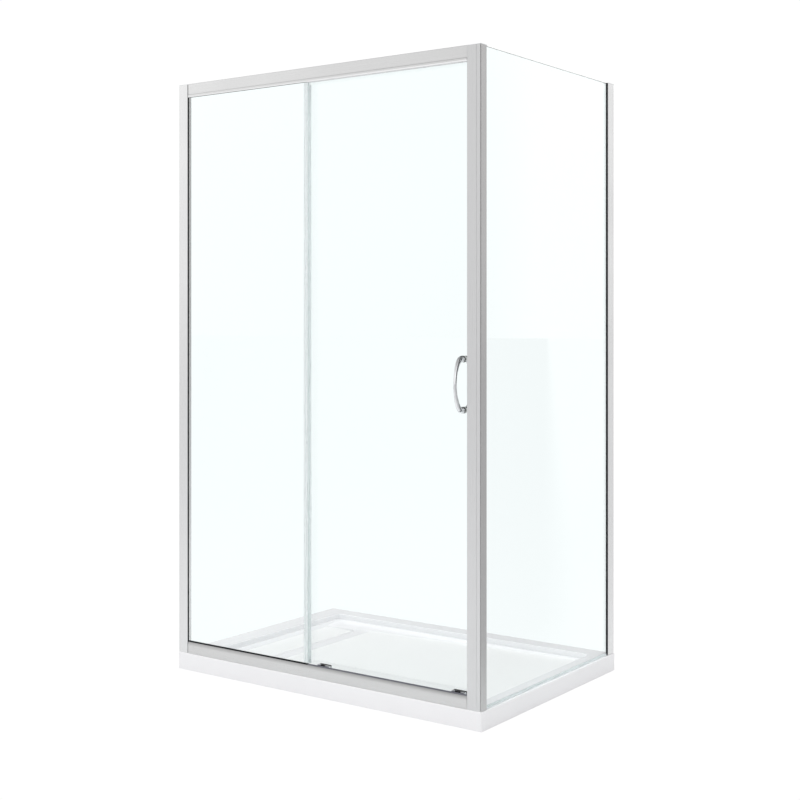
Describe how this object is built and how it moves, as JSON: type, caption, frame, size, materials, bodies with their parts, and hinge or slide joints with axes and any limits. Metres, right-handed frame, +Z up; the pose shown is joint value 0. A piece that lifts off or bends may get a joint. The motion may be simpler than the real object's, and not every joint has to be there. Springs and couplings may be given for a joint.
{
  "type": "shower enclosure",
  "caption": "Corner shower enclosure: glass door that slides on rollers behind a fixed pane, glass side wall, metal profiles and a low rectangular tray.",
  "frame": {"origin": "middle of the shower tray's underside", "axes": "+Z up; +X to the right along the sliding-door front; +Y from that front to the back wall. The walls of the room stand at X = -0.6 and Y = +0.4."},
  "size_m": [1.2, 0.8192, 1.93],
  "materials": {
    "tray_white": "gloss acrylic over stone resin",
    "cover_white": "gloss with fine grain",
    "aluminium_satin": "satin anodised, fine lines along each profile",
    "chrome": "polished",
    "steel": "plain stainless",
    "glass_clear": "clear toughened, faint cyan-green at the edges",
    "seal_clear": "milky clear soft PVC",
    "rubber_black": "matt",
    "plastic_grey": "silver grey",
    "plastic_dark": "blue grey",
    "plastic_black": "satin",
    "nylon_white": "moulded"
  },
  "bodies": {
    "enclosure": {"shower_tray": "tray_white", "wall_channel_left": "aluminium_satin", "wall_channel_rear": "aluminium_satin", "jamb_left": "aluminium_satin", "jamb_rear": "aluminium_satin", "jamb_screws": "steel", "screw_caps": "plastic_grey", "top_rail": "aluminium_satin", "bottom_rail": "aluminium_satin", "rail_end_blocks": "plastic_grey", "door_stops": "rubber_black", "corner_post": "aluminium_satin", "side_profile": "aluminium_satin", "frame_screws": "steel", "post_bumper_strip": "rubber_black", "profile_caps": "plastic_grey", "fixed_glass": "glass_clear", "fixed_glass_gasket_left": "rubber_black", "fixed_glass_gasket_top": "rubber_black", "fixed_glass_gasket_bottom": "rubber_black", "glass_setting_blocks": "rubber_black", "fixed_glass_edge_seal": "seal_clear", "rail_infill_top": "plastic_grey", "rail_infill_bottom": "plastic_dark", "side_glass": "glass_clear", "side_glass_gasket_front": "seal_clear", "side_glass_gasket_rear": "rubber_black", "side_glass_bottom_seal": "seal_clear"},
    "door": {"door_glass": "glass_clear", "door_left_seal": "seal_clear", "door_closing_seal": "seal_clear", "handle_outer": "chrome", "handle_inner": "chrome", "handle_studs": "steel", "handle_washers": "seal_clear", "top_hanger_plates": "steel", "top_wheel_axles": "steel", "top_hanger_bolts": "steel", "top_hanger_caps": "chrome", "glass_bushes": "seal_clear", "lower_guide_housings": "chrome", "lower_guide_back_plates": "chrome", "lower_guide_screws": "steel", "lower_spring_left": "steel", "lower_spring_right": "steel"},
    "drain_cover": {"drain_cover": "cover_white"},
    "top_wheel_1": {"top_wheel_1": "nylon_white", "top_bearing_1": "steel"},
    "top_wheel_2": {"top_wheel_2": "nylon_white", "top_bearing_2": "steel"},
    "top_wheel_3": {"top_wheel_3": "nylon_white", "top_bearing_3": "steel"},
    "top_wheel_4": {"top_wheel_4": "nylon_white", "top_bearing_4": "steel"},
    "release_left": {"release_slider_left": "plastic_black"},
    "lower_wheel_left": {"lower_wheel_left": "nylon_white"},
    "release_right": {"release_slider_right": "plastic_black"},
    "lower_wheel_right": {"lower_wheel_right": "nylon_white"}
  },
  "joints": [
    {"name": "door_slide", "type": "slide", "parent": "enclosure", "child": "door", "axis": [-1, 0, 0], "range_m": [0, 0.48]},
    {"name": "top_wheel_1_spin", "type": "hinge", "parent": "door", "child": "top_wheel_1", "pos_m": [0.002, -0.3795, 1.907], "axis": [0, -1, 0], "continuous": true},
    {"name": "top_wheel_2_spin", "type": "hinge", "parent": "door", "child": "top_wheel_2", "pos_m": [0.046, -0.3795, 1.907], "axis": [0, -1, 0], "continuous": true},
    {"name": "top_wheel_3_spin", "type": "hinge", "parent": "door", "child": "top_wheel_3", "pos_m": [0.454, -0.3795, 1.907], "axis": [0, -1, 0], "continuous": true},
    {"name": "top_wheel_4_spin", "type": "hinge", "parent": "door", "child": "top_wheel_4", "pos_m": [0.498, -0.3795, 1.907], "axis": [0, -1, 0], "continuous": true},
    {"name": "lower_release_left", "type": "slide", "parent": "door", "child": "release_left", "axis": [0, 0, -1], "range_m": [0, 0.0045], "stiffness_N_per_m": 450, "springref_m": -0.003, "deforming": ["lower_spring_left"]},
    {"name": "lower_wheel_left_spin", "type": "hinge", "parent": "release_left", "child": "lower_wheel_left", "pos_m": [0.008, -0.3795, 0.0711], "axis": [0, 1, 0], "continuous": true},
    {"name": "lower_release_right", "type": "slide", "parent": "door", "child": "release_right", "axis": [0, 0, -1], "range_m": [0, 0.0045], "stiffness_N_per_m": 450, "springref_m": -0.003, "deforming": ["lower_spring_right"]},
    {"name": "lower_wheel_right_spin", "type": "hinge", "parent": "release_right", "child": "lower_wheel_right", "pos_m": [0.508, -0.3795, 0.0711], "axis": [0, 1, 0], "continuous": true},
    {"name": "drain_cover_lift", "type": "slide", "parent": "enclosure", "child": "drain_cover", "axis": [0, 0, 1], "range_m": [0, 0.12]}
  ],
  "couplings": [
    {"joint": "top_wheel_1_spin", "follows": "door_slide", "rad_per_m": 95.238},
    {"joint": "top_wheel_2_spin", "follows": "door_slide", "rad_per_m": 95.238},
    {"joint": "top_wheel_3_spin", "follows": "door_slide", "rad_per_m": 95.238},
    {"joint": "top_wheel_4_spin", "follows": "door_slide", "rad_per_m": 95.238},
    {"joint": "lower_wheel_left_spin", "follows": "door_slide", "rad_per_m": 142.86},
    {"joint": "lower_wheel_right_spin", "follows": "door_slide", "rad_per_m": 142.86}
  ]
}
